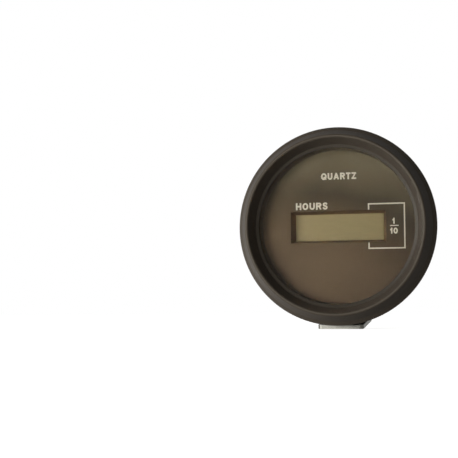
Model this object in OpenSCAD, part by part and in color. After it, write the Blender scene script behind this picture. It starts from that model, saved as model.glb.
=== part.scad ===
// Round panel-mount hour meter: a dial with a recessed display window, spade terminals
// on the back and a U-shaped clamp bracket held on two studs by knurled thumb nuts.
// Drawn with x right, y up the dial and z towards the viewer, z = 0 where the bezel meets the panel.
// The upright() module then stands it as on a wall, with the dial facing -Y.

/* [Bezel] */
// Outer diameter of the bezel
bezel_d = 60; // [58:0.5:66]
// Height of the crest in front of the panel
bezel_h = 6.4; // [5.6:0.1:8]
// How far the crest lies inside the outer edge
crest_inset = 3.3; // [2.4:0.1:3.6]
// Radius that rounds the crest
crest_r = 0.6; // [0.4:0.1:0.9]
// Height of the band round the outer edge
band_h = 1.4; // [0.8:0.1:2]
// How far the lip reaches in over the lens
lip_reach = 1; // [0.7:0.1:1.6]

/* [Housing] */
// Diameter of the barrel that passes through the panel
barrel_d = 51.2; // [49.6:0.2:52.8]
// Depth of the barrel behind the panel face
barrel_depth = 22; // [20:0.5:30]
// Thickness of the barrel wall
wall = 2; // [1.6:0.1:2.4]
// Thickness of the back wall
back_wall = 2.2; // [1.8:0.1:3]
// Thickness of the flange inside the bezel
flange_h = 1.7; // [1.4:0.1:2]
// Width of the raised terminal pad
pad_w = 36; // [34:0.5:38]
// Height of the raised terminal pad
pad_h = 24.5; // [22:0.5:25.5]
// How far the pad stands off the back
pad_rise = 2.5; // [1.5:0.1:4]
// Distance between the two hollow screw bosses
boss_spacing = 44.2; // [43.4:0.2:44.6]
// Diameter of the hole in each screw boss
boss_hole_d = 2.1; // [1.6:0.1:2.6]
// How far the screw bosses stand off the back
boss_rise = 3; // [2:0.1:4]

/* [Dial] */
// Thickness of the lens
lens_t = 1.8; // [1.4:0.1:2.4]
// Thickness of the dial plate
dial_t = 0.6; // [0.4:0.1:0.8]
// Gap between the dial and the lens
dial_gap = 2.5; // [1.8:0.1:3.6]
// Width of the display window
window_w = 29.2; // [26:0.2:30]
// Height of the display window
window_h = 9.6; // [8.5:0.1:10.5]
// Depth of the display behind the dial's face
window_depth = 2.9; // [2:0.1:3.6]

/* [Studs and nuts] */
// Distance between the studs
stud_spacing = 38; // [37:0.2:39]
// Diameter of the studs
stud_d = 4; // [3.6:0.1:4.4]
// Length of stud that shows past each nut
stud_end = 7; // [6.6:0.1:12]
// Diameter of the thumb nuts
nut_d = 9.6; // [9:0.1:11]
// Height of the thumb nuts
nut_h = 6; // [4:0.5:8]
// Number of ridges round each nut
knurl_count = 36; // [24:1:48]

/* [Bracket] */
// Width of the strap
strap_w = 14; // [11.6:0.1:15.5]
// Thickness of the strap
strap_t = 1.2; // [0.9:0.1:1.6]
// Gap between the barrel and the legs where they leave the bends
leg_clear = 1.6; // [0.8:0.1:2.5]
// Inside radius of the bends
strap_bend = 1.2; // [0.8:0.1:1.6]
// Angle by which the legs flare outwards
leg_flare = 6.5; // [6:0.5:12]
// Gap between the bezel's rear face and the legs
leg_gap = 4.6; // [3:0.1:6]

/* [Terminals] */
// Width of the spade tabs
tab_w = 6.3; // [5.6:0.1:6.4]
// Thickness of the spade tabs
tab_t = 0.8; // [0.6:0.1:1]
// Length of each tab past its bend
tab_len = 6.6; // [5:0.1:8]
// Angle by which the tabs lean outwards
tab_lean = 50; // [46:1:60]
// Sideways distance of the tabs from the axis
tab_x = 13.3; // [12.6:0.1:13.4]
// Upward distance of the tabs from the axis
tab_y = 5.7; // [5.2:0.1:6.2]

/* [Hidden] */
$fn = 96;

// Clearances, and how far a joined or cut shape runs past the face it starts on
fit = 0.1;
thread_fit = 0.05;
hole_fit = 0.6;
sunk = 0.5;

// Radii of the housing, from the inside out
barrel_r = barrel_d / 2;
cavity_r = barrel_r - wall;
ledge_w = 0.6;
dial_bore_r = cavity_r + ledge_w;
lens_bore_r = dial_bore_r + ledge_w;
bezel_r = bezel_d / 2;
flange_part = 0.41;
flange_r = barrel_r + flange_part * (bezel_r - barrel_r);

// Heights along the axis, from the bezel's lip back to the dial's ledge
gasket_t = 0.5;
lip_t = 0.5;
lip_rise = 0.2;
lip_z = flange_h + lip_rise;
lens_top = lip_z - gasket_t;
lens_z = lens_top - lens_t;
dial_z = lens_z - dial_gap;
ledge_z = dial_z - dial_t;

// Bezel section
edge_chamfer = 0.4;
ridge_inset = 1.15;
ridge_rise = 1.4;
lip_face_part = 0.303;
lip_face_rise = 0.35;
crest_at = [bezel_r - crest_inset, bezel_h - crest_r];
ridge_at = [bezel_r - ridge_inset, band_h + ridge_rise];
band_at = [bezel_r, band_h];
opening_r = lens_bore_r - fit - lip_reach;
lip_edge = [opening_r, lip_z + lip_t];
lip_step = lip_edge + [lip_face_part * (crest_at[0] - opening_r), lip_face_rise];

// Heights along the axis, from the display backwards
lcd_z = dial_z - window_depth;
film_t = 0.2;
glass_t = 1.1;
front_glass_z = lcd_z - film_t - glass_t;
rear_glass_z = front_glass_z - glass_t;
reflector_z = rear_glass_z - film_t;
strip_h = 2.5;
board_z = front_glass_z - strip_h;
board_t = 1.6;
board_back_z = board_z - board_t;
board_gap = 1.1;
board_r = cavity_r - board_gap;

// Display sizes
window_taper = [2, 1.5];
glass_margin = [2, 3.1];
contact_ledge = 2;
holder_wall = 3.4;
holder_corner = 1.5;
pocket_fit = 0.3;
strip_w = 1.6;
glass_w = window_w + glass_margin[0];
glass_h = window_h + glass_margin[1];
rear_glass_h = glass_h - 2 * contact_ledge;
strip_y = (glass_h - contact_ledge) / 2;
pocket_w = glass_w + 2 * pocket_fit;
pocket_h = glass_h + 2 * pocket_fit;
holder_w = pocket_w + 2 * holder_wall;
holder_h = pocket_h + 2 * holder_wall;

// Back of the housing
back_z = -barrel_depth;
inner_back_z = back_z + back_wall;
board_room = board_back_z - inner_back_z;
pad_z = back_z - pad_rise;
pad_bevel = 1.2;
pad_corner = 2;
stud_y = stud_spacing / 2;
boss_x = boss_spacing / 2;
stud_r = stud_d / 2;
stud_boss_wall = 2.5;
stud_boss_r = stud_r + stud_boss_wall;
boss_wall = 1.35;
boss_r = boss_hole_d / 2 + boss_wall;
boss_floor = 1;
boss_hole_depth = boss_rise + back_wall - boss_floor;
mark_r = 2;
mark_depth = 0.2;
mark_insets = [3.9, 6.8];
mark_turns = [16, 64.5];
blank_r = 3.3;
rim_w = 0.6;
rim_groove_w = 0.4;
rim_groove_depth = 0.4;
notch_w = 4.3;
notch_depth = 0.8;

// Board posts and screws
post_r = 2.2;
post_turn = 53;
post_gap = 0.7;
post_reach = cavity_r - post_r - post_gap;
post_at = post_reach * [cos(post_turn), sin(post_turn)];
pilot_d = 1.9;
screw_r = pilot_d / 2 - thread_fit;
screw_part = 0.75;
screw_reach = board_t + screw_part * board_room;
screw_head_r = 2;
screw_head_h = 1.4;

// Parts on the back of the board: their sizes, and the rows that they stand in
controller_size = [10.3, 7.5, 2.4];
memory_size = [5, 4, 1.6];
regulator_size = [6.5, 5, 2.3];
diode_size = [4.4, 2.7, 2.2];
resistor_size = [3.2, 1.7, 0.6];
crystal_size = [10.4, 3.8, 3.5];
crystal_base = 0.5;
capacitor_r = 3.15;
capacitor_part = 0.72;
capacitor_h = capacitor_part * board_room;
capacitor_groove = 0.4;
row_gap = 5.5;
row_x = 8.8;
row_y = post_at[1] - row_gap;
controller_y = 3;
crystal_y = -5.5;

// Stud heads in their hexagonal collars
head_h = 2.8;
head_margin = 1.5;
head_across = stud_d + 2 * head_margin;
collar_wall = 1;

// Bracket, nuts and stud ends, along the axis
strap_z = pad_z - strap_t;
nut_end_z = strap_z - nut_h;
stud_end_z = nut_end_z - stud_end;
bend_outer = strap_bend + strap_t;
strap_span = barrel_d + 2 * (leg_clear + strap_t);
bend_at = [strap_span / 2 - bend_outer, pad_z + strap_bend];
leg_len = (-leg_gap - bend_at[1] + strap_bend * sin(leg_flare)) / cos(leg_flare);
leg_corner = 1.2;
strap_drop = hole_fit - thread_fit;
end_step = 0.3;
end_chamfer = 0.35;
end_len = 1.6;

// Ridges, mouth and chamfers of the nuts
ridge_depth = 0.35;
mouth_w = 0.9;
mouth_depth = 0.35;
nut_chamfer = 0.5;

// Spade tabs
tab_bend = 0.7;
tab_bend_outer = tab_bend + tab_t;
tab_riser = 1.2;
tab_chamfer = 1.1;
tab_hole_d = 1.6;
tab_hole_part = 0.55;
shoulder_margin = 0.7;
shoulder_w = tab_w + 2 * shoulder_margin;
shoulder_h = 1.4;
tail_w = 2;

// Colours
black_plastic = "#2B2824";
dial_brown = "#5A4F40";
display_olive = "#8A7C58";
zinc = "#9C9B8B";
brass = "#B3A37F";
steel = "#A29C8A";
board_green = "#2F5B3A";
chip_black = "#1C1C1E";
rubber = "#1A1918";

// Stands the drawing up: y becomes the row's Z, and z becomes its -Y
module upright() {
    rotate([90, 0, 0]) children();
}

// A rectangle with round corners
module rounded(w, h, r) {
    square([w - 2 * r, h], center = true);
    square([w, h - 2 * r], center = true);
    for (sx = [-1, 1], sy = [-1, 1]) {
        translate([sx * (w / 2 - r), sy * (h / 2 - r)]) circle(r);
    }
}

// A bar with sloping sides: base wide at z = 0 and top wide at z = rise, along y
module sloped_bar(base, top, rise, length) {
    rotate([90, 0, 0]) linear_extrude(length, center = true)
        polygon([[-base / 2, 0], [base / 2, 0], [top / 2, rise], [-top / 2, rise]]);
}

// A block with four sloping sides, from base sizes at z = 0 to top sizes at z = rise
module sloped_block(base, top, rise) {
    intersection() {
        sloped_bar(base[0], top[0], rise, max(base[1], top[1]) + sunk);
        rotate([0, 0, 90]) sloped_bar(base[1], top[1], rise, max(base[0], top[0]) + sunk);
    }
}

// A flat ring
module ring(outer, inner, h) {
    linear_extrude(h) difference() {
        circle(outer);
        circle(inner);
    }
}

// Part of a round bend, as a flat profile between two radii inside a wedge
module bend_sector(inner, outer, wedge) {
    intersection() {
        difference() {
            circle(outer);
            circle(inner);
        }
        polygon(wedge);
    }
}

// The barrel, flange, ledges and back wall, turned round the axis
module housing_section() {
    polygon([
        [0, back_z], [barrel_r - edge_chamfer, back_z], [barrel_r, back_z + edge_chamfer],
        [barrel_r, 0], [flange_r, 0], [flange_r, flange_h], [lens_bore_r, flange_h],
        [lens_bore_r, lens_z], [dial_bore_r, lens_z], [dial_bore_r, ledge_z], [cavity_r, ledge_z],
        [cavity_r, inner_back_z], [0, inner_back_z]
    ]);
}

// The raised pad that carries the terminals
module terminal_pad() {
    slope = pad_bevel / pad_rise;
    base = [pad_w, pad_h] + 2 * sunk * slope * [1, 1];
    top = [pad_w, pad_h] - 2 * pad_bevel * [1, 1];
    translate([0, 0, back_z + sunk]) mirror([0, 0, 1]) intersection() {
        sloped_block(base, top, pad_rise + sunk);
        linear_extrude(pad_rise + sunk) rounded(pad_w + fit, pad_h + fit, pad_corner);
    }
}

// Everything on the housing that stands off the back wall, inside and out
module housing_bosses() {
    terminal_pad();
    for (s = [-1, 1]) {
        translate([0, s * stud_y, pad_z]) cylinder(r = stud_boss_r, h = pad_rise + sunk);
        translate([0, s * stud_y, inner_back_z - sunk])
            cylinder(r = head_across / sqrt(3) + collar_wall, h = head_h + sunk);
        translate([s * boss_x, 0, back_z - boss_rise]) cylinder(r = boss_r, h = boss_rise + sunk);
        for (t = [-1, 1]) {
            translate([s * post_at[0], t * post_at[1], inner_back_z - sunk])
                cylinder(r = post_r, h = board_room + sunk);
        }
    }
}

// The holes for the studs, screws and terminals
module housing_holes() {
    for (s = [-1, 1]) {
        translate([0, s * stud_y, pad_z - sunk])
            cylinder(r = stud_r + thread_fit, h = inner_back_z - pad_z + 2 * sunk);
        translate([0, s * stud_y, inner_back_z])
            cylinder(d = (head_across + fit) * 2 / sqrt(3), h = head_h + sunk, $fn = 6);
        translate([s * boss_x, 0, back_z - boss_rise - sunk])
            cylinder(d = boss_hole_d, h = boss_hole_depth + sunk);
        translate([-s * post_at[0], s * post_at[1], inner_back_z + sunk])
            cylinder(d = pilot_d, h = board_room);
    }
    for (at = [[tab_x, tab_y], [-tab_x, tab_y], [-tab_x, -tab_y]]) {
        translate([at[0], at[1], (pad_z + inner_back_z) / 2])
            cube([tab_w + 2 * fit, tab_t + 2 * fit, inner_back_z - pad_z + 2 * sunk], center = true);
    }
}

// The shallow marks in the back: moulding pins, the unused terminal place, the rim and its notch
module housing_marks() {
    for (sx = [-1, 1], sy = [-1, 1], i = [0, 1]) {
        at = (barrel_r - mark_insets[i]) * [sx * cos(mark_turns[i]), sy * sin(mark_turns[i])];
        translate([at[0], at[1], back_z - mark_depth]) cylinder(r = mark_r, h = 2 * mark_depth);
    }
    translate([tab_x, -tab_y, pad_z - mark_depth]) cylinder(r = blank_r, h = 2 * mark_depth);
    translate([0, 0, back_z - rim_groove_depth])
        ring(barrel_r - rim_w, barrel_r - rim_w - rim_groove_w, 2 * rim_groove_depth);
    translate([-barrel_r, 0, back_z]) cube([2 * notch_depth, notch_w, 2 * mark_depth], center = true);
}

// The moulded cup
module housing() {
    color(black_plastic) upright() difference() {
        union() {
            rotate_extrude() housing_section();
            housing_bosses();
        }
        housing_holes();
        housing_marks();
    }
}

// Where a straight line from a point meets a circle as a tangent, on the left (1) or right (-1)
function tangent(p, c, r, side) =
    let (d = norm(p - c), reach = acos(r / d), from = atan2(p[1] - c[1], p[0] - c[0]))
    c + r * [cos(from + side * reach), sin(from + side * reach)];

// The bezel's section: outer band, ridge, flank, round crest, funnel and lip
module bezel_section() {
    flange_room = flange_r + fit;
    pocket_r = lens_bore_r + fit;
    polygon([
        [flange_room, 0], [bezel_r - edge_chamfer, 0], [bezel_r, edge_chamfer], band_at, ridge_at,
        tangent(ridge_at, crest_at, crest_r, 1), crest_at, tangent(lip_step, crest_at, crest_r, -1),
        lip_step, lip_edge, [opening_r, lip_z], [pocket_r, lip_z], [pocket_r, flange_h],
        [flange_room, flange_h]
    ]);
    translate(crest_at) circle(crest_r);
}

module bezel() {
    color(black_plastic) upright() rotate_extrude() bezel_section();
}

// The clear disc in front of the dial
module lens() {
    color("#DDE3E0", 0.35) upright() translate([0, 0, lens_z]) cylinder(r = lens_bore_r - fit, h = lens_t);
}

module lens_gasket() {
    color(rubber) upright() translate([0, 0, lens_top])
        ring(lens_bore_r - fit, opening_r + 2 * fit, gasket_t);
}

// The spacer between the dial and the lens
module dial_ring() {
    color(black_plastic) upright() translate([0, 0, dial_z])
        ring(dial_bore_r - fit, cavity_r - fit, dial_gap);
}

module dial_plate() {
    color(dial_brown) upright() translate([0, 0, ledge_z]) linear_extrude(dial_t) difference() {
        circle(dial_bore_r - fit);
        square([window_w, window_h], center = true);
    }
}

// The frame that holds the display behind the window
module lcd_holder() {
    window = [window_w, window_h];
    taper_h = ledge_z - lcd_z;
    slope = window_taper / taper_h;
    color(dial_brown) upright() difference() {
        translate([0, 0, board_z]) linear_extrude(ledge_z - board_z)
            rounded(holder_w, holder_h, holder_corner);
        translate([0, 0, lcd_z - sunk]) sloped_block(
            window - window_taper - slope * sunk, window + slope * sunk, taper_h + 2 * sunk);
        translate([0, 0, board_z - sunk]) linear_extrude(lcd_z - board_z + sunk)
            square([pocket_w, pocket_h], center = true);
    }
}

// One layer of the display
module display_layer(z, w, h, t) {
    upright() translate([0, 0, z]) linear_extrude(t) square([w, h], center = true);
}

module lcd_polariser() {
    color(display_olive) display_layer(lcd_z - film_t, glass_w, glass_h, film_t);
}

module lcd_front_glass() {
    color(display_olive, 0.5) display_layer(front_glass_z, glass_w, glass_h, glass_t);
}

module lcd_rear_glass() {
    color(display_olive, 0.5) display_layer(rear_glass_z, glass_w, rear_glass_h, glass_t);
}

module lcd_reflector() {
    color(display_olive) display_layer(reflector_z, glass_w, rear_glass_h, film_t);
}

// A rubber strip from the ledge of the front glass to the board
module contact_strip(s) {
    color(rubber) upright() translate([0, s * strip_y, board_z])
        linear_extrude(strip_h) square([glass_w, strip_w], center = true);
}

// The board, with holes for its two screws
module circuit_board() {
    color(board_green) upright() translate([0, 0, board_back_z]) difference() {
        cylinder(r = board_r, h = board_t);
        for (s = [-1, 1]) {
            translate([-s * post_at[0], s * post_at[1], -sunk])
                cylinder(r = screw_r + fit, h = board_t + 2 * sunk);
        }
    }
}

// A pan-head screw through the board into its post
module board_screw(s) {
    crown = 0.5;
    color(steel) upright() translate([-s * post_at[0], s * post_at[1], board_z]) rotate_extrude()
        polygon([
            [0, -screw_reach], [screw_r / 2, -screw_reach], [screw_r, screw_r - screw_reach],
            [screw_r, 0], [screw_head_r, 0], [screw_head_r, screw_head_h - crown],
            [screw_head_r - crown, screw_head_h], [0, screw_head_h]
        ]);
}

// A flat package on the back of the board
module package(at, size) {
    color(chip_black) upright() translate([at[0], at[1], board_back_z - size[2] / 2])
        cube(size, center = true);
}

module controller_chip() {
    package([0, controller_y], controller_size);
}

module memory_chip() {
    package([-row_x, -row_y], memory_size);
}

module voltage_regulator() {
    package([row_x, -row_y], regulator_size);
}

module input_diode() {
    package([row_x, row_y], diode_size);
}

module input_resistor() {
    package([tab_x, 0], resistor_size);
}

// A crystal in a drawn can on a flat base
module quartz_crystal() {
    w = crystal_size[0];
    h = crystal_size[1];
    color(steel) upright() translate([0, crystal_y, board_back_z]) mirror([0, 0, 1]) {
        linear_extrude(crystal_base) rounded(w + 2 * crystal_base, h + 2 * crystal_base, h / 2);
        linear_extrude(crystal_size[2]) rounded(w, h, h / 2 - fit);
    }
}

// An electrolytic capacitor standing off the back of the board
module filter_capacitor() {
    r = capacitor_r;
    h = capacitor_h;
    dip = capacitor_groove;
    color("#2B3038") upright() translate([-row_x, row_y, board_back_z]) mirror([0, 0, 1]) rotate_extrude()
        polygon([
            [0, 0], [r, 0], [r, 3 * dip], [r - dip, 4 * dip], [r, 5 * dip], [r, h - dip], [r - dip, h], [0, h]
        ]);
}

// The outline of a spade blade: chamfered tip, measured from its bend
module blade_outline() {
    half = tab_w / 2;
    difference() {
        polygon([
            [-half, 0], [half, 0], [half, tab_len - tab_chamfer], [half - tab_chamfer, tab_len],
            [tab_chamfer - half, tab_len], [-half, tab_len - tab_chamfer]
        ]);
        translate([0, tab_len * tab_hole_part]) circle(d = tab_hole_d);
    }
}

// A spade tab: tail to the board, shoulder inside the back, riser, bend and leaning blade
module spade_tab() {
    bend_z = pad_z - tab_riser;
    bend_y = tab_t / 2 + tab_bend;
    far = 2 * tab_bend_outer;
    tail_h = board_room - shoulder_h;
    translate([-tab_w / 2, -tab_t / 2, bend_z]) cube([tab_w, tab_t, inner_back_z - bend_z]);
    translate([-shoulder_w / 2, -tab_t / 2, inner_back_z]) cube([shoulder_w, tab_t, shoulder_h]);
    translate([-tail_w / 2, -tab_t / 2, inner_back_z + shoulder_h]) cube([tail_w, tab_t, tail_h]);
    translate([0, bend_y, bend_z]) {
        rotate([90, 0, 90]) linear_extrude(tab_w, center = true) bend_sector(tab_bend, tab_bend_outer,
            [[0, 0], [-far, 0], [-far, -far], [-far * cos(tab_lean), -far * sin(tab_lean)]]);
        rotate([tab_lean - 90, 0, 0]) translate([0, 0, -tab_bend_outer])
            linear_extrude(tab_t) blade_outline();
    }
}

module terminal_positive() {
    color(brass) upright() translate([tab_x, tab_y, 0]) spade_tab();
}

module terminal_negative() {
    color(brass) upright() translate([-tab_x, tab_y, 0]) spade_tab();
}

module terminal_ignition() {
    color(brass) upright() translate([-tab_x, -tab_y, 0]) mirror([0, 1, 0]) spade_tab();
}

// A stud with a hexagonal head inside the back and a turned-down end
module stud(s) {
    end_r = stud_r - end_step;
    end_top = stud_end_z + end_len;
    color(steel) upright() translate([0, s * stud_y, 0]) {
        rotate_extrude() polygon([
            [0, stud_end_z], [end_r - end_chamfer, stud_end_z], [end_r, stud_end_z + end_chamfer],
            [end_r, end_top], [stud_r, end_top + end_step], [stud_r, inner_back_z + sunk],
            [0, inner_back_z + sunk]
        ]);
        translate([0, 0, inner_back_z]) cylinder(d = head_across * 2 / sqrt(3), h = head_h, $fn = 6);
    }
}

// One leg of the bracket, flat, with round corners at its tip
module leg_outline() {
    half = strap_w / 2;
    translate([-half, 0]) square([strap_w, leg_len - leg_corner]);
    translate([-half + leg_corner, 0]) square([strap_w - 2 * leg_corner, leg_len]);
    for (s = [-1, 1]) {
        translate([s * (half - leg_corner), leg_len - leg_corner]) circle(leg_corner);
    }
}

// The upper half of the strap with its bend and leg; the bend turns with the leg, up to the strap's end
module bracket_half() {
    far = 2 * bend_outer;
    half_len = bend_at[0] + sunk;
    translate([0, bend_at[0], bend_at[1]]) {
        translate([-strap_w / 2, -half_len, -bend_outer]) cube([strap_w, half_len, strap_t]);
        difference() {
            rotate([-leg_flare, 0, 0]) {
                rotate([90, 0, 90]) linear_extrude(strap_w, center = true)
                    bend_sector(strap_bend, bend_outer, [[0, 0], [-far, -far], [far, -far], [far, 0]]);
                rotate([90, 0, 0]) translate([0, 0, -bend_outer]) linear_extrude(strap_t) leg_outline();
            }
            translate([-strap_w, -far, -far]) cube([2 * strap_w, far, 2 * far]);
        }
    }
}

// The strap folded into a wide U, with a hole for each stud, hanging down on the studs
module mounting_bracket() {
    hole_r = stud_r + hole_fit;
    color(zinc) upright() translate([0, -strap_drop, 0]) difference() {
        union() {
            bracket_half();
            mirror([0, 1, 0]) bracket_half();
        }
        for (s = [-1, 1]) {
            translate([0, s * stud_y, strap_z - sunk]) cylinder(r = hole_r, h = strap_t + 2 * sunk);
        }
    }
}

// A nut with straight ridges, chamfered ends and a stepped mouth
module thumb_nut(s) {
    nut_r = nut_d / 2;
    root_r = nut_r - ridge_depth;
    bore_r = stud_r + thread_fit;
    step_r = bore_r + mouth_w;
    step_h = mouth_depth;
    past_r = nut_r + ridge_depth;
    past_h = nut_chamfer + ridge_depth;
    half_step = 180 / knurl_count;
    color(steel) upright() translate([0, s * stud_y, strap_z]) mirror([0, 0, 1]) intersection() {
        linear_extrude(nut_h) polygon([for (i = [0:2 * knurl_count - 1])
            (i % 2 == 0 ? nut_r : root_r) * [cos(i * half_step), sin(i * half_step)]]);
        rotate_extrude() polygon([
            [bore_r, 0], [nut_r - nut_chamfer, 0], [past_r, past_h], [past_r, nut_h - past_h],
            [nut_r - nut_chamfer, nut_h], [step_r, nut_h], [step_r, nut_h - step_h],
            [bore_r + step_h, nut_h - step_h], [bore_r, nut_h - 2 * step_h]
        ]);
    }
}

housing();
bezel();
lens();
lens_gasket();
dial_ring();
dial_plate();
lcd_holder();
lcd_polariser();
lcd_front_glass();
lcd_rear_glass();
lcd_reflector();
contact_strip(1);  // contact_strip_upper
contact_strip(-1);  // contact_strip_lower
circuit_board();
board_screw(1);  // board_screw_upper
board_screw(-1);  // board_screw_lower
controller_chip();
memory_chip();
quartz_crystal();
filter_capacitor();
voltage_regulator();
input_diode();
input_resistor();
terminal_positive();
terminal_negative();
terminal_ignition();
stud(1);  // stud_upper
stud(-1);  // stud_lower
mounting_bracket();
thumb_nut(1);  // thumb_nut_upper
thumb_nut(-1);  // thumb_nut_lower
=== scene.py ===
import math

import bmesh
import bpy
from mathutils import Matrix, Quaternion, Vector


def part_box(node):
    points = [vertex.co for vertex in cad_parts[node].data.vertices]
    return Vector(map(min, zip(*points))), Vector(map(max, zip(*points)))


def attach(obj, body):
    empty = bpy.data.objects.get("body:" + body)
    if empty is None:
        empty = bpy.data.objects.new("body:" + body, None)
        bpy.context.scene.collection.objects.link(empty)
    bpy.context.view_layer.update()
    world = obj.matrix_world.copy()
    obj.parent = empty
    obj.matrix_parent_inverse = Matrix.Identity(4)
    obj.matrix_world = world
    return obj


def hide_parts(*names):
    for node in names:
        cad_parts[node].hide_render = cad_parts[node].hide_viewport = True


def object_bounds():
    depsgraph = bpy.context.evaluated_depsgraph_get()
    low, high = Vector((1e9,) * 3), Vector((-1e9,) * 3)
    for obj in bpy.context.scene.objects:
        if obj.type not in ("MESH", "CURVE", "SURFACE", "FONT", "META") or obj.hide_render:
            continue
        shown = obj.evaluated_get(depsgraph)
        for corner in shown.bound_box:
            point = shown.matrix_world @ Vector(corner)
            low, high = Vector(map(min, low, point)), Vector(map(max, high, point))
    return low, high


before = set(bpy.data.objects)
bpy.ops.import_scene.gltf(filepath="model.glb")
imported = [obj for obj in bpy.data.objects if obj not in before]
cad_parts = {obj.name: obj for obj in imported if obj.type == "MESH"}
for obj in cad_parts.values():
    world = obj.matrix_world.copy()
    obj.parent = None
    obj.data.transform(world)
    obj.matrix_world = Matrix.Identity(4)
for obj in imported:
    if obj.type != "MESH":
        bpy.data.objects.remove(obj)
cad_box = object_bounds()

scene = bpy.context.scene
scene.view_settings.view_transform = "Standard"
MM = 0.001
MICRON = 0.000001


# Colours and nodes

# Sockets of the mixing node: its factor, its two colours and its result, then its two numbers
FACTOR, COLOUR_A, COLOUR_B, MIXED = 0, 6, 7, 2
NUMBER_A, NUMBER_B = 2, 3

# Most of a noise texture's values lie in this span
NOISE_SPAN = {"From Min": 0.3, "From Max": 0.7}


def linear(code):
    """An sRGB hex colour as the linear RGBA that the shaders take."""
    channels = [int(code[i:i + 2], 16) / 255 for i in (1, 3, 5)]
    return [c / 12.92 if c <= 0.04045 else ((c + 0.055) / 1.055) ** 2.4 for c in channels] + [1.0]


def add(tree, kind, values={}, links={}, **settings):
    """Adds one node with its settings, its socket values and its links."""
    node = tree.nodes.new(kind)
    for name, value in settings.items():
        setattr(node, name, value)
    for socket, value in values.items():
        node.inputs[socket].default_value = value
    for socket, source in links.items():
        tree.links.new(source, node.inputs[socket])
    return node


def per_mm(size):
    """The texture scale whose features are this many millimetres across."""
    return 1 / (size * MM)


def surface(name):
    """A new material, with its tree, its shader and the part's own coordinates."""
    material = bpy.data.materials.new(name)
    material.use_nodes = True
    tree = material.node_tree
    place = add(tree, "ShaderNodeTexCoord").outputs["Object"]
    return material, tree, tree.nodes["Principled BSDF"], place


def finish(name, dark, light, rough, metallic=0.0, blotch_mm=4.0, grain_mm=0.4, grain_um=6.0, **sockets):
    """A surface with slow drifts of colour and gloss under a fine bumped grain."""
    material, tree, shader, place = surface(name)
    shader.inputs["Metallic"].default_value = metallic
    for socket, value in sockets.items():
        shader.inputs[socket.replace("_", " ")].default_value = value
    blotch = add(tree, "ShaderNodeTexNoise", {"Scale": per_mm(blotch_mm), "Detail": 4.0}, {"Vector": place})
    grain = add(tree, "ShaderNodeTexNoise", {"Scale": per_mm(grain_mm), "Detail": 2.0}, {"Vector": place})
    tint = add(tree, "ShaderNodeMix", {COLOUR_A: linear(dark), COLOUR_B: linear(light)},
               {FACTOR: blotch.outputs[0]}, data_type="RGBA")
    gloss = add(tree, "ShaderNodeMapRange", {**NOISE_SPAN, "To Min": rough[0], "To Max": rough[1]},
                {"Value": grain.outputs[0]})
    bump = add(tree, "ShaderNodeBump", {"Strength": 1.0, "Distance": grain_um * MICRON},
               {"Height": grain.outputs[0]})
    tree.links.new(tint.outputs[MIXED], shader.inputs["Base Color"])
    tree.links.new(gloss.outputs[0], shader.inputs["Roughness"])
    tree.links.new(bump.outputs[0], shader.inputs["Normal"])
    return material


def paint_lip_shade(material, lip_r, blur, shade):
    """Paints shade into a turned surface: darker inside a radius about the axis, given in millimetres with a
    blurred edge.
    """
    tree = material.node_tree
    colour = tree.nodes["Principled BSDF"].inputs["Base Color"]
    place = add(tree, "ShaderNodeTexCoord").outputs["Object"]
    flat = add(tree, "ShaderNodeVectorMath", {1: (1.0, 0.0, 1.0)}, {0: place}, operation="MULTIPLY")
    reach = add(tree, "ShaderNodeVectorMath", {}, {0: flat.outputs[0]}, operation="LENGTH")
    edge = {"From Min": (lip_r - blur) * MM, "From Max": (lip_r + blur) * MM}
    lip_shade = add(tree, "ShaderNodeMapRange", {**edge, "To Min": shade, "To Max": 1.0},
               {"Value": reach.outputs["Value"]})
    toned = add(tree, "ShaderNodeMix", {FACTOR: 1.0},
                {COLOUR_A: colour.links[0].from_socket, COLOUR_B: lip_shade.outputs[0]},
                data_type="RGBA", blend_type="MULTIPLY")
    tree.links.new(toned.outputs[MIXED], colour)


# Materials

# Moulded ABS with a fine spark-eroded grain: a warm near-black with soft broad highlights.
# The real grain is about 0.1 mm and is drawn at 0.35 mm so that it shows.
bezel_abs = finish("moulded_abs_satin", "#342E27", "#3F3830", (0.46, 0.58), blotch_mm=9, grain_mm=0.35,
                   grain_um=5, Specular_IOR_Level=0.2, Specular_Tint=linear("#FFFAEA"))

# Painted shade: the lip round the opening is darkened in colour.
paint_lip_shade(bezel_abs, lip_r=24.6, blur=0.15, shade=0.6)

# The same ABS from a rougher mould: duller and uneven in tone. Its grain is drawn coarser too, at 0.45 mm.
housing_abs = finish("moulded_abs_rough", "#29241D", "#3B352B", (0.6, 0.78), blotch_mm=6, grain_mm=0.45,
                     grain_um=9, Specular_IOR_Level=0.3)

# Brown ABS ring round the dial, dull and a little uneven, so that the dial meets its edge softly.
spacer_abs = finish("moulded_abs_dull", "#665B4C", "#736857", (0.55, 0.7), blotch_mm=5, grain_mm=0.4,
                    grain_um=5)

# Brown polystyrene round the display, moulded and slightly waxy.
holder_styrene = finish("moulded_polystyrene_brown", "#644A30", "#72563A", (0.45, 0.6), blotch_mm=3,
                        grain_mm=0.3)

# Pressed nitrile rubber: matt black with a bloom.
strip_nitrile = finish("pressed_nitrile_rubber", "#171615", "#232220", (0.7, 0.85), blotch_mm=2,
                       grain_mm=0.25)

# Pressed silicone of the lens seal: dull warm grey, slightly cloudy.
seal_silicone = finish("pressed_silicone_grey", "#8A7F6C", "#9C907B", (0.5, 0.7), blotch_mm=2, grain_mm=0.25)

# Soda-lime display glass: an olive tint and a bright polish.
cell_glass = finish("display_glass", "#7E7658", "#8A805E", (0.04, 0.08), blotch_mm=8, grain_mm=2,
                    grain_um=0.5, Transmission_Weight=0.6, IOR=1.52)

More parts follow.
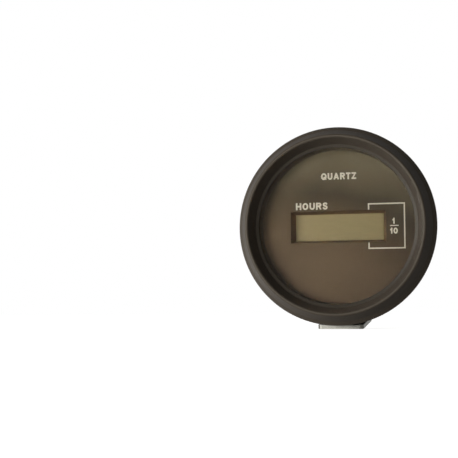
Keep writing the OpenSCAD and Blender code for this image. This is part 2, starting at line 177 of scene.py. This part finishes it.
# Glass-fibre laminate under green solder mask: paler and darker greens where weave and copper lie below.
board_laminate = finish("glass_fibre_laminate", "#234A2E", "#38683F", (0.3, 0.45), blotch_mm=1.6,
                        grain_mm=0.6)

# Moulded epoxy packages: charcoal with a sandy texture.
package_epoxy = finish("moulded_epoxy", "#18181A", "#27272A", (0.55, 0.75), blotch_mm=1, grain_mm=0.2,
                       grain_um=8)

# Drawn nickel-silver can: soft warm grey metal, a little uneven in gloss.
crystal_can = finish("drawn_nickel_silver", "#98938A", "#B4AEA2", (0.22, 0.38), metallic=1.0, blotch_mm=2)

# Shrunk vinyl sleeve: dark blue-black and glossy.
sleeve_vinyl = finish("shrunk_vinyl_sleeve", "#20252D", "#2F3640", (0.2, 0.32), blotch_mm=3, grain_mm=0.5)

# Zinc-plated steel of the studs and screws: pale warm grey with small dull spots.
stud_steel = finish("zinc_plated_turned_steel", "#968F7E", "#CBC4B0", (0.2, 0.36), metallic=1.0,
                    blotch_mm=1.2, grain_mm=0.3, grain_um=2)

# Nickel-plated brass of the nuts: warm grey, dulled by handling, with brownish stains.
nut_nickel = finish("nickel_plated_brass", "#8C8470", "#D0C8B2", (0.28, 0.5), metallic=1.0, blotch_mm=1.5,
                    grain_mm=0.25, grain_um=3)

# Cream screen ink: matt and slightly uneven where the mesh left it thin.
screen_ink = finish("screen_ink_cream", "#D9D2C0", "#E8E2D2", (0.5, 0.65), blotch_mm=0.6, grain_mm=0.12,
                    grain_um=2)


def clear_acrylic(wave_mm=14, wave_um=4):
    """Cast acrylic: almost colourless and polished, with the faintest waviness in its gloss."""
    material, tree, shader, place = surface("cast_acrylic")
    shader.inputs["Base Color"].default_value = linear("#F6F5F0")
    shader.inputs["Transmission Weight"].default_value = 1.0
    shader.inputs["IOR"].default_value = 1.49
    shader.inputs["Roughness"].default_value = 0.0
    wave = add(tree, "ShaderNodeTexNoise", {"Scale": per_mm(wave_mm), "Detail": 1.0}, {"Vector": place})
    bump = add(tree, "ShaderNodeBump", {"Strength": 1.0, "Distance": wave_um * MICRON},
               {"Height": wave.outputs[0]})
    tree.links.new(bump.outputs[0], shader.inputs["Normal"])
    return material


def printed_dial(drift_mm=22, grit_mm=0.3, grit_um=0.8):
    """Brown enamel rolled on a plate: olive at the top and redder below, with painted shade darkest above the
    display.

    The painted light and shade run on a slant, and the plate is painted darker to the right.
    The real grit is finer, and is drawn at 0.3 mm so that it shows.
    """
    foot, top, side_r, sway_h = -20 * MM, 26 * MM, 23 * MM, 6 * MM
    # Tilts of the painted light and shade: the colours up the plate are lifted on its right half, and the
    # left-to-right shade slants with height.
    right_lift, slant = 0.4, -0.4
    # Enamel colours from foot to top; their darker middle is painted shade.
    colours_and_shade_up = ((0.0, "#856E56"), (0.3, "#846D55"), (0.52, "#6F5B43"), (0.72, "#5E513D"), (1.0, "#8A7D64"))
    # Painted light: lighter at the left, darker to the right.
    painted_light_across = ((0.0, "#FFFFFF"), (0.25, "#D6D6D6"), (0.5, "#D6D6D6"), (1.0, "#B4B4B4"))
    material, tree, shader, place = surface("rolled_enamel_brown")
    shader.inputs["Roughness"].default_value = 0.6
    shader.inputs["Specular IOR Level"].default_value = 0.2
    axes = add(tree, "ShaderNodeSeparateXYZ", {}, {0: place})
    drift = add(tree, "ShaderNodeTexNoise", {"Scale": per_mm(drift_mm), "Detail": 2.0}, {"Vector": place})
    sway = add(tree, "ShaderNodeMath", {1: sway_h}, {0: drift.outputs[0]}, operation="MULTIPLY")
    swayed = add(tree, "ShaderNodeMath", {}, {0: axes.outputs["Z"], 1: sway.outputs[0]}, operation="ADD")
    right = add(tree, "ShaderNodeMath", {1: 0.0}, {0: axes.outputs["X"]}, operation="MAXIMUM")
    height = add(tree, "ShaderNodeMath", {1: right_lift}, {0: right.outputs[0], 2: swayed.outputs[0]},
                 operation="MULTIPLY_ADD")
    slanted = add(tree, "ShaderNodeMath", {1: slant}, {0: axes.outputs["Z"], 2: axes.outputs["X"]},
                  operation="MULTIPLY_ADD")
    level = add(tree, "ShaderNodeMapRange", {"From Min": foot, "From Max": top}, {"Value": height.outputs[0]})
    side = add(tree, "ShaderNodeMapRange", {"From Min": -side_r, "From Max": side_r},
               {"Value": slanted.outputs[0]})
    up = add(tree, "ShaderNodeValToRGB", {}, {0: level.outputs[0]})
    side_light = add(tree, "ShaderNodeValToRGB", {}, {0: side.outputs[0]})
    for ramp, shades in ((up.color_ramp, colours_and_shade_up), (side_light.color_ramp, painted_light_across)):
        while len(ramp.elements) < len(shades):
            ramp.elements.new(0.5)
        for element, (at, code) in zip(ramp.elements, shades):
            element.position = at
            element.color = linear(code)
    toned = add(tree, "ShaderNodeMix", {FACTOR: 1.0}, {COLOUR_A: up.outputs[0], COLOUR_B: side_light.outputs[0]},
                data_type="RGBA", blend_type="MULTIPLY")
    grit = add(tree, "ShaderNodeTexNoise", {"Scale": per_mm(grit_mm), "Detail": 2.0}, {"Vector": place})
    mottle = add(tree, "ShaderNodeMapRange", {**NOISE_SPAN, "To Min": 0.94, "To Max": 1.05},
                 {"Value": grit.outputs[0]})
    speck = add(tree, "ShaderNodeMix", {FACTOR: 1.0},
                {COLOUR_A: toned.outputs[MIXED], COLOUR_B: mottle.outputs[0]},
                data_type="RGBA", blend_type="MULTIPLY")
    bump = add(tree, "ShaderNodeBump", {"Strength": 1.0, "Distance": grit_um * MICRON},
               {"Height": grit.outputs[0]})
    tree.links.new(speck.outputs[MIXED], shader.inputs["Base Color"])
    tree.links.new(bump.outputs[0], shader.inputs["Normal"])
    return material


def polariser(fibre_mm=0.5, fibre_draw=0.25):
    """Polarising film over the reflector: matt olive, a little paler at the left, with a faint fibre.

    The real fibre is finer, and is drawn at 0.5 mm so that it shows.
    """
    side_r = 15 * MM
    material, tree, shader, place = surface("polarising_film_olive")
    shader.inputs["Roughness"].default_value = 0.5
    axes = add(tree, "ShaderNodeSeparateXYZ", {}, {0: place})
    side = add(tree, "ShaderNodeMapRange", {"From Min": -side_r, "From Max": side_r},
               {"Value": axes.outputs["X"]})
    olive = add(tree, "ShaderNodeMix", {COLOUR_A: linear("#A08D5F"), COLOUR_B: linear("#8C7C50")},
                {FACTOR: side.outputs[0]}, data_type="RGBA")
    drawn = add(tree, "ShaderNodeMapping", {"Scale": (fibre_draw, 1.0, 1.0)}, {0: place})
    fibre = add(tree, "ShaderNodeTexNoise", {"Scale": per_mm(fibre_mm), "Detail": 3.0},
                {"Vector": drawn.outputs[0]})
    mottle = add(tree, "ShaderNodeMapRange", {**NOISE_SPAN, "To Min": 0.96, "To Max": 1.04},
                 {"Value": fibre.outputs[0]})
    toned = add(tree, "ShaderNodeMix", {FACTOR: 1.0},
                {COLOUR_A: olive.outputs[MIXED], COLOUR_B: mottle.outputs[0]},
                data_type="RGBA", blend_type="MULTIPLY")
    tree.links.new(toned.outputs[MIXED], shader.inputs["Base Color"])
    return material


def plated_strip(crystal_mm=0.35, cloud_mm=7, line_mm=0.25, line_draw=0.08, line_um=4):
    """Zinc plating on rolled steel: small grey crystals, rolling lines, paler to one end, and painted shade
    on the faces that look left, which are also duller.

    The real crystals and lines are finer, and are drawn at 0.35 and 0.25 mm so that they show.
    """
    end_z, left_face_darkening, left_face_dullness = 28 * MM, 0.4, 0.6
    left_facing = {"From Min": -0.7, "From Max": -0.95}
    material, tree, shader, place = surface("zinc_plated_rolled_steel")
    shader.inputs["Metallic"].default_value = 1.0
    axes = add(tree, "ShaderNodeSeparateXYZ", {}, {0: place})
    end = add(tree, "ShaderNodeMapRange", {"From Min": -end_z, "From Max": end_z},
              {"Value": axes.outputs["Z"]})
    grey = add(tree, "ShaderNodeMix", {COLOUR_A: linear("#94928A"), COLOUR_B: linear("#D6D5C0")},
               {FACTOR: end.outputs[0]}, data_type="RGBA")
    crystal = add(tree, "ShaderNodeTexVoronoi", {"Scale": per_mm(crystal_mm)}, {"Vector": place})
    flake = add(tree, "ShaderNodeMapRange", {"To Min": 0.84, "To Max": 1.08},
                {"Value": crystal.outputs["Color"]})
    cloud = add(tree, "ShaderNodeTexNoise", {"Scale": per_mm(cloud_mm), "Detail": 5.0}, {"Vector": place})
    stain = add(tree, "ShaderNodeMapRange", {**NOISE_SPAN, "To Min": 0.8, "To Max": 1.12},
                {"Value": cloud.outputs[0]})
    both = add(tree, "ShaderNodeMath", {}, {0: flake.outputs[0], 1: stain.outputs[0]}, operation="MULTIPLY")
    normal = add(tree, "ShaderNodeTexCoord").outputs["Normal"]
    sideways = add(tree, "ShaderNodeSeparateXYZ", {}, {0: normal})
    # Painted shade: faces that look left are darkened, and made duller too.
    left_face_shade = add(tree, "ShaderNodeMapRange", {**left_facing, "To Min": 1.0, "To Max": left_face_darkening},
               {"Value": sideways.outputs["X"]})
    # Crystals and stains, times the painted shade on faces that look left
    worn = add(tree, "ShaderNodeMath", {}, {0: both.outputs[0], 1: left_face_shade.outputs[0]}, operation="MULTIPLY")
    toned = add(tree, "ShaderNodeMix", {FACTOR: 1.0},
                {COLOUR_A: grey.outputs[MIXED], COLOUR_B: worn.outputs[0]},
                data_type="RGBA", blend_type="MULTIPLY")
    rolled = add(tree, "ShaderNodeMapping", {"Scale": (1.0, 1.0, line_draw)}, {0: place})
    lines = add(tree, "ShaderNodeTexNoise", {"Scale": per_mm(line_mm), "Detail": 2.0},
                {"Vector": rolled.outputs[0]})
    plain = add(tree, "ShaderNodeMapRange", {**NOISE_SPAN, "To Min": 0.26, "To Max": 0.42},
                {"Value": cloud.outputs[0]})
    dulled = add(tree, "ShaderNodeMath", {0: 1.0}, {1: left_face_shade.outputs[0]}, operation="SUBTRACT")
    gloss = add(tree, "ShaderNodeMath", {1: left_face_dullness}, {0: dulled.outputs[0], 2: plain.outputs[0]},
                operation="MULTIPLY_ADD")
    bump = add(tree, "ShaderNodeBump", {"Strength": 1.0, "Distance": line_um * MICRON},
               {"Height": lines.outputs[0]})
    tree.links.new(toned.outputs[MIXED], shader.inputs["Base Color"])
    tree.links.new(gloss.outputs[0], shader.inputs["Roughness"])
    tree.links.new(bump.outputs[0], shader.inputs["Normal"])
    return material


def tinned_brass(stain_mm=2.2, worn_mm=1.4, stain_um=8):
    """Tinned brass strip: dull silver with brown stains, and bare gold brass where the tin is worn."""
    material, tree, shader, place = surface("tinned_brass_strip")
    shader.inputs["Metallic"].default_value = 1.0
    stain = add(tree, "ShaderNodeTexNoise", {"Scale": per_mm(stain_mm), "Detail": 5.0}, {"Vector": place})
    tin = add(tree, "ShaderNodeMix", {COLOUR_A: linear("#9C8A6A"), COLOUR_B: linear("#E0D5BE")},
              {FACTOR: stain.outputs[0]}, data_type="RGBA")
    worn = add(tree, "ShaderNodeTexNoise", {"Scale": per_mm(worn_mm), "Detail": 3.0, "Distortion": 0.6},
               {"Vector": place})
    bare = add(tree, "ShaderNodeMapRange", {"From Min": 0.56, "From Max": 0.68}, {"Value": worn.outputs[0]})
    metal = add(tree, "ShaderNodeMix", {COLOUR_B: linear("#B9944C")},
                {FACTOR: bare.outputs[0], COLOUR_A: tin.outputs[MIXED]}, data_type="RGBA")
    gloss = add(tree, "ShaderNodeMapRange", {**NOISE_SPAN, "To Min": 0.24, "To Max": 0.46},
                {"Value": stain.outputs[0]})
    bump = add(tree, "ShaderNodeBump", {"Strength": 1.0, "Distance": stain_um * MICRON},
               {"Height": stain.outputs[0]})
    tree.links.new(metal.outputs[MIXED], shader.inputs["Base Color"])
    tree.links.new(gloss.outputs[0], shader.inputs["Roughness"])
    tree.links.new(bump.outputs[0], shader.inputs["Normal"])
    return material


lens_acrylic = clear_acrylic()
dial_enamel = printed_dial()
film_olive = polariser()
bracket_zinc = plated_strip()
tab_brass = tinned_brass()

FINISHES = {
    "housing": housing_abs, "bezel": bezel_abs, "lens": lens_acrylic, "lens_gasket": seal_silicone,
    "dial_ring": spacer_abs, "dial_plate": dial_enamel, "lcd_holder": holder_styrene,
    "lcd_polariser": film_olive, "lcd_front_glass": cell_glass, "lcd_rear_glass": cell_glass,
    "lcd_reflector": film_olive, "contact_strip_upper": strip_nitrile, "contact_strip_lower": strip_nitrile,
    "circuit_board": board_laminate, "board_screw_upper": stud_steel, "board_screw_lower": stud_steel,
    "controller_chip": package_epoxy, "memory_chip": package_epoxy, "quartz_crystal": crystal_can,
    "filter_capacitor": sleeve_vinyl, "voltage_regulator": package_epoxy, "input_diode": package_epoxy,
    "input_resistor": package_epoxy, "terminal_positive": tab_brass, "terminal_negative": tab_brass,
    "terminal_ignition": tab_brass, "stud_upper": stud_steel, "stud_lower": stud_steel,
    "mounting_bracket": bracket_zinc, "thumb_nut_upper": nut_nickel, "thumb_nut_lower": nut_nickel,
}
for name, material in FINISHES.items():
    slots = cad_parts[name].data.materials
    slots.clear()
    slots.append(material)


# Pieces

def meshed(form, name):
    """Turns a closed form into a mesh whose faces look outwards."""
    bmesh.ops.recalc_face_normals(form, faces=form.faces)
    mesh = bpy.data.meshes.new(name)
    form.to_mesh(mesh)
    form.free()
    return mesh


def piece(name, mesh, material, body):
    """A new piece of the part, riding on a body and finished with a material."""
    made = bpy.data.objects.new(name, mesh)
    scene.collection.objects.link(made)
    made.data.materials.append(material)
    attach(made, body)
    return made


def arc(centre, radii, start, end, steps=12):
    """Points on part of an ellipse, between two angles in degrees."""
    turns = [math.radians(start + (end - start) * i / steps) for i in range(steps + 1)]
    return [(centre[0] + radii[0] * math.cos(t), centre[1] + radii[1] * math.sin(t)) for t in turns]


def smooth(points, steps=5):
    """A rounded path through a few points."""
    ends = [points[0]] + points + [points[-1]]
    path = []
    for p0, p1, p2, p3 in zip(ends, ends[1:], ends[2:], ends[3:]):
        for k in range(steps):
            t = k / steps
            path.append(tuple(0.5 * (2 * b + (c - a) * t + (2 * a - 5 * b + 4 * c - d) * t * t
                                     + (3 * b - a - 3 * c + d) * t ** 3)
                              for a, b, c, d in zip(p0, p1, p2, p3)))
    return path + [points[-1]]


# The strokes of each plain bold letter, in a box one wide and one high
BOWL = [(0, 1)] + arc((0.6, 0.75), (0.4, 0.25), 90, -90) + [(0, 0.5)]
RING = arc((0.5, 0.5), (0.5, 0.5), 0, 360, 28)[:-1]
STROKES = {
    "A": [[(0.04, 0), (0.46, 1)], [(0.96, 0), (0.54, 1)], [(0.2, 0.27), (0.8, 0.27)]],
    "H": [[(0, 0), (0, 1)], [(1, 0), (1, 1)], [(0, 0.52), (1, 0.52)]],
    "I": [[(0.5, 0), (0.5, 1)]],
    "N": [[(0, 0), (0, 1)], [(1, 0), (1, 1)], [(0, 1), (1, 0)]],
    "O": [RING],
    "P": [[(0, 0), (0, 1)], BOWL],
    "Q": [RING, [(0.6, 0.3), (0.95, -0.02)]],
    "R": [[(0, 0), (0, 1)], BOWL, [(0.55, 0.5), (0.96, 0)]],
    "S": [smooth([(0.95, 0.76), (0.82, 0.95), (0.5, 1), (0.14, 0.92), (0.05, 0.74), (0.2, 0.58), (0.5, 0.51),
                  (0.84, 0.42), (0.96, 0.25), (0.84, 0.06), (0.48, 0), (0.12, 0.07), (0.02, 0.26)])],
    "T": [[(0, 1), (1, 1)], [(0.5, 0), (0.5, 1)]],
    "U": [[(0, 1)] + arc((0.5, 0.38), (0.5, 0.38), 180, 360) + [(1, 1)]],
    "Z": [[(0, 1), (1, 1)], [(0, 0), (1, 0)], [(0.95, 1), (0.05, 0)]],
    "0": [RING],
    "1": [[(0.8, 0), (0.8, 1)], [(0.8, 0.95), (0.1, 0.72)]],
}

# The ink's thickness in millimetres, and the part of it by which each stroke of a letter tops the one before
INK = 0.03
INK_STEP = 0.02


def ribbon(form, path, width, top=1.0, closed=False, box=None):
    """Adds a printed line with mitred corners along a path, kept inside a box if one is given."""
    points = [Vector(p) for p in path]
    runs = [(b - a).normalized() for a, b in zip(points, points[1:] + points[:1])]
    sides = []
    for i, p in enumerate(points):
        before, after = runs[i - 1], runs[i]
        if not closed:
            before = runs[max(i - 1, 0)]
            after = runs[min(i, len(points) - 2)]
        normal = Vector((-before.y, before.x)) + Vector((-after.y, after.x))
        normal *= width / 2 / (1 + before.dot(after))
        for side in (p + normal, p - normal):
            if box:
                side.x = min(max(side.x, box[0]), box[2])
                side.y = min(max(side.y, box[1]), box[3])
            sides.append([form.verts.new((side.x, side.y, z)) for z in (0, top)])
    count = len(points)
    for i in range(count if closed else count - 1):
        (a0, a1), (b0, b1) = sides[2 * i:2 * i + 2]
        (c0, c1), (d0, d1) = sides[2 * i + 2:2 * i + 4] if i < count - 1 else sides[:2]
        for corners in ((a1, b1, d1, c1), (c0, d0, b0, a0), (a0, a1, c1, c0), (d0, d1, b1, b0)):
            form.faces.new(corners)
    if not closed:
        for (a0, a1), (b0, b1) in (sides[:2], sides[-2:]):
            form.faces.new((a0, a1, b1, b0))


def word(form, text, centre, cap, widths, gap, bold):
    """Adds a word in plain bold letters; each stroke lies a hair above the one before it."""
    left = centre[0] - (sum(widths) + gap * (len(text) - 1)) / 2
    base = centre[1] - cap / 2
    for letter, width in zip(text, widths):
        box = (left, base, left + width, base + cap)
        for i, stroke in enumerate(STROKES[letter]):
            path = [Vector((left + bold / 2 + x * (width - bold), base + bold / 2 + y * (cap - bold)))
                    for x, y in stroke]
            closed = stroke is RING
            if not closed and letter != "S":
                path[0] += (path[0] - path[1]).normalized() * bold / 2
                path[-1] += (path[-1] - path[-2]).normalized() * bold / 2
            ribbon(form, path, bold, 1 + INK_STEP * i, closed, box)
        left += width + gap


# Words and lines printed on the dial, in millimetres from its centre
form = bmesh.new()
word(form, "QUARTZ", centre=(0.3, 15.5), cap=2.08, widths=(1.75, 1.5, 1.75, 1.52, 1.42, 1.42), gap=0.29,
     bold=0.49)
word(form, "HOURS", centre=(-8.08, 6.45), cap=2.16, widths=(1.68, 1.83, 1.68, 1.68, 1.58), gap=0.36, bold=0.5)
word(form, "1", centre=(16.8, 1.42), cap=1.8, widths=(0.85,), gap=0.0, bold=0.4)
word(form, "10", centre=(16.85, -1.55), cap=1.8, widths=(0.85, 1.28), gap=0.25, bold=0.4)
fraction_bar = [(15.75, 0.0), (18.3, 0.0)]
ribbon(form, fraction_bar, width=0.3)
tenths_box = [(9.35, 5.0), (9.35, 6.72), (20.1, 6.72), (20.1, -6.75), (9.35, -6.75), (9.35, -5.0)]
ribbon(form, tenths_box, width=0.4)
dial_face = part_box("dial_plate")[0].y
for v in form.verts:
    v.co = Vector((v.co.x * MM, dial_face - v.co.z * INK * MM, v.co.y * MM))
piece("dial_print", meshed(form, "dial_print"), screen_ink, "meter")

# Terminal letters printed on the pad that the strap lies on, drawn mirrored because they are read from behind
LETTER_CAP, LETTER_BOLD, STRAP_T = 3.0, 0.52, 1.2
form = bmesh.new()
for letter, (x, z), width in (("P", (6.9, 7.4), 2.4), ("N", (-7.9, 7.0), 2.6), ("I", (-7.3, -7.6), 0.6),
                              ("R", (7.0, -6.8), 2.5)):
    word(form, letter, (-x, z), LETTER_CAP, (width,), 0.0, LETTER_BOLD)
pad_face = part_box("mounting_bracket")[1].y - STRAP_T * MM
for v in form.verts:
    v.co = Vector((-v.co.x * MM, pad_face + v.co.z * INK * MM, v.co.y * MM))
piece("terminal_letters", meshed(form, "terminal_letters"), screen_ink, "meter")


def threaded_stud(name, node):
    """A stud with a rolled thread, a turned-down end and its hexagonal head, in millimetres."""
    low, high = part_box(node)
    middle_z = (low.z + high.z) / 2
    around, steps, pitch = 40, 10, 0.7
    major_r, depth, end_r = 2.0, 0.38, 1.7
    head_h, head_flats = 2.8, 7.0
    run_in, run_out = 1.4, 0.7
    flank_slope, crest_flat = 1.25, 0.12
    plain_l, turned_l = 1.9, 1.6
    rounding = ((0.35, 0.0), (0.1, 0.2), (0.0, 0.45))
    front, back = low.y / MM + head_h, high.y / MM
    thread_end, turned = back - plain_l, back - turned_l
    along = [front + k * pitch / steps for k in range(int((thread_end - front) / pitch * steps) + 1)]
    form = bmesh.new()

    def ring(y, radius, corners=around):
        """Points round the stud's axis, where radius gives each point's distance from it."""
        return [form.verts.new((radius(i) * math.cos(i * math.tau / corners) * MM, y * MM,
                                middle_z + radius(i) * math.sin(i * math.tau / corners) * MM))
                for i in range(corners)]

    def closed_body(rings):
        """Joins rings with faces and closes both ends."""
        for a, b in zip(rings, rings[1:]):
            for i in range(len(a)):
                j = (i + 1) % len(a)
                form.faces.new((a[i], a[j], b[j], b[i]))
        form.faces.new(rings[0])
        form.faces.new(reversed(rings[-1]))

    rings = []
    for y in along:
        cut = max(0.0, min(1.0, (y - front) / run_in, (thread_end - y) / run_out))

        def thread(i, y=y, cut=cut):
            turn = (y / pitch - i / around) % 1.0
            return major_r - depth * cut * min(1.0, max(0.0, abs(2 * turn - 1) * flank_slope - crest_flat))
        rings.append(ring(y, thread))
    nose = [(back - before, end_r - inset) for before, inset in rounding]
    for y, radius in [(thread_end, major_r), (turned, end_r)] + nose:
        rings.append(ring(y, lambda i, radius=radius: radius))
    closed_body(rings)
    corner_r = head_flats / math.sqrt(3)
    closed_body([ring(y, lambda i: corner_r, corners=6) for y in (low.y / MM, front)])
    stud = piece(name, meshed(form, name), stud_steel, "meter")
    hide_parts(node)


threaded_stud("threaded_stud_upper", "stud_upper")
threaded_stud("threaded_stud_lower", "stud_lower")


def turned_spacer(name, node):
    """The ring between the dial and the lens, with a bore that opens towards the lens."""
    low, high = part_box(node)
    around, dial_r, lens_r = 240, 23.4 * MM, 23.85 * MM
    lens_gap, edge = 0.1 * MM, 0.1 * MM
    front = low.y + lens_gap
    section = [(high.x, high.y), (dial_r, high.y), (lens_r, front + edge), (lens_r + edge, front),
               (high.x, front)]
    form = bmesh.new()
    turns = [i * math.tau / around for i in range(around)]
    rings = [[form.verts.new((r * math.cos(t), y, r * math.sin(t))) for t in turns] for r, y in section]
    for a, b in zip(rings, rings[1:] + rings[:1]):
        for i in range(around):
            j = (i + 1) % around
            form.faces.new((a[i], a[j], b[j], b[i]))
    spacer = piece(name, meshed(form, name), spacer_abs, "meter")
    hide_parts(node)


turned_spacer("dial_spacer", "dial_ring")


# Floor, light and camera

def pale_floor():
    """Matt white card: pale to the eye, and in reflections pale at the left and dim at the right.

    It keeps the shadow that falls on it.
    """
    bright_x, dim_x, dim_share, lift_strength = -75 * MM, 30 * MM, 0.12, 0.82
    material, tree, shader, place = surface("matt_white_card")
    tree.nodes.remove(shader)
    path = add(tree, "ShaderNodeLightPath")
    axes = add(tree, "ShaderNodeSeparateXYZ", {}, {0: place})
    fall = add(tree, "ShaderNodeMapRange",
               {"From Min": bright_x, "From Max": dim_x, "To Min": 1.0, "To Max": dim_share},
               {"Value": axes.outputs["X"]}, interpolation_type="SMOOTHSTEP")
    mirrored = add(tree, "ShaderNodeMath", {},
                   {0: path.outputs["Is Glossy Ray"], 1: path.outputs["Is Transmission Ray"]},
                   operation="MAXIMUM")
    graded = add(tree, "ShaderNodeMath", {}, {0: mirrored.outputs[0], 1: fall.outputs[0]},
                 operation="MULTIPLY")
    seen = add(tree, "ShaderNodeMath", {}, {0: path.outputs["Is Camera Ray"], 1: graded.outputs[0]},
               operation="MAXIMUM")
    glow = add(tree, "ShaderNodeMath", {1: lift_strength}, {0: seen.outputs[0]}, operation="MULTIPLY")
    card = add(tree, "ShaderNodeBsdfDiffuse", {"Color": linear("#F2F1EE")})
    lift = add(tree, "ShaderNodeEmission", {"Color": linear("#FFFFFF")}, {"Strength": glow.outputs[0]})
    both = add(tree, "ShaderNodeAddShader", {}, {0: card.outputs[0], 1: lift.outputs[0]})
    tree.links.new(both.outputs[0], tree.nodes["Material Output"].inputs["Surface"])
    return material


FLOOR_HALF = 0.8
form = bmesh.new()
bmesh.ops.create_grid(form, x_segments=1, y_segments=1, size=FLOOR_HALF)
floor_mesh = bpy.data.meshes.new("floor")
form.to_mesh(floor_mesh)
form.free()
floor = bpy.data.objects.new("floor", floor_mesh)
scene.collection.objects.link(floor)
floor.location.z = cad_box[0][2]
floor_mesh.materials.append(pale_floor())

# The room: white sweeps to the left and behind, each given as its direction and the span over which it rises,
# and a dim grey elsewhere. The eye sees plain white.
SWEEPS = (((-0.8, 0.58, -0.6), 0.1, 0.9), ((0.0, 1.0, 0.0), 0.4, 0.95))
ROOM_DIM, ROOM_WHITE = 0.11, 0.9
world = bpy.data.worlds.new("studio")
scene.world = world
world.use_nodes = True
tree = world.node_tree
path = add(tree, "ShaderNodeLightPath")
where = add(tree, "ShaderNodeTexCoord").outputs["Generated"]
shades = []
for direction, start, full in SWEEPS:
    toward = add(tree, "ShaderNodeVectorMath", {1: direction}, {0: where}, operation="DOT_PRODUCT")
    shades.append(add(tree, "ShaderNodeMapRange",
                      {"From Min": start, "From Max": full, "To Min": ROOM_DIM, "To Max": ROOM_WHITE},
                      {"Value": toward.outputs["Value"]}, interpolation_type="SMOOTHSTEP"))
sweep = add(tree, "ShaderNodeMath", {}, {0: shades[0].outputs[0], 1: shades[1].outputs[0]},
            operation="MAXIMUM")
strength = add(tree, "ShaderNodeMix", {NUMBER_B: 1.0},
               {FACTOR: path.outputs["Is Camera Ray"], NUMBER_A: sweep.outputs[0]}, data_type="FLOAT")
tree.links.new(strength.outputs[0], tree.nodes["Background"].inputs["Strength"])
tree.nodes["Background"].inputs["Color"].default_value = linear("#FFFFFF")


def soft_box(name, place, size, power, aim=(0, 0, 0)):
    """A soft light of this width and height that faces the part."""
    lamp = bpy.data.lights.new(name, "AREA")
    lamp.shape = "RECTANGLE"
    lamp.size, lamp.size_y = size
    lamp.energy = power
    box = bpy.data.objects.new(name, lamp)
    scene.collection.objects.link(box)
    box.location = place
    box.rotation_euler = (Vector(aim) - Vector(place)).to_track_quat("-Z", "Y").to_euler()


soft_box("key_light", place=(-0.38, -0.57, 0.03), size=(0.46, 0.14), power=7.3)

# The camera stands a little to the right and below, with the part right of the picture's middle.
# The picture's side, the focal length and the part's place in the picture are in pixels.
PICTURE, FOCAL, SENSOR = 458, 1108.3, 36
SEEN_AT = (335.9, 225.75)
AIM = Vector((0, -2 * MM, 0))
turn, rise, roll = math.radians(9.03), math.radians(-4.21), math.radians(0.68)
distance = 0.335
outward = Vector((math.sin(turn) * math.cos(rise), -math.cos(turn) * math.cos(rise), math.sin(rise)))
camera = bpy.data.objects.new("camera", bpy.data.cameras.new("camera"))
scene.collection.objects.link(camera)
camera.data.sensor_fit = "HORIZONTAL"
camera.data.sensor_width = SENSOR
camera.data.lens = FOCAL / PICTURE * SENSOR
camera.data.clip_start = 0.01
camera.location = AIM + outward * distance
middle = PICTURE / 2
to_part = Vector(((SEEN_AT[0] - middle) / FOCAL, -(SEEN_AT[1] - middle) / FOCAL, -1))
off_axis = Vector((0, 0, -1)).rotation_difference(to_part)
facing = (-outward).to_track_quat("-Z", "Y")
camera.rotation_euler = (facing @ Quaternion((0, 0, 1), -roll) @ off_axis.inverted()).to_euler()
scene.camera = camera
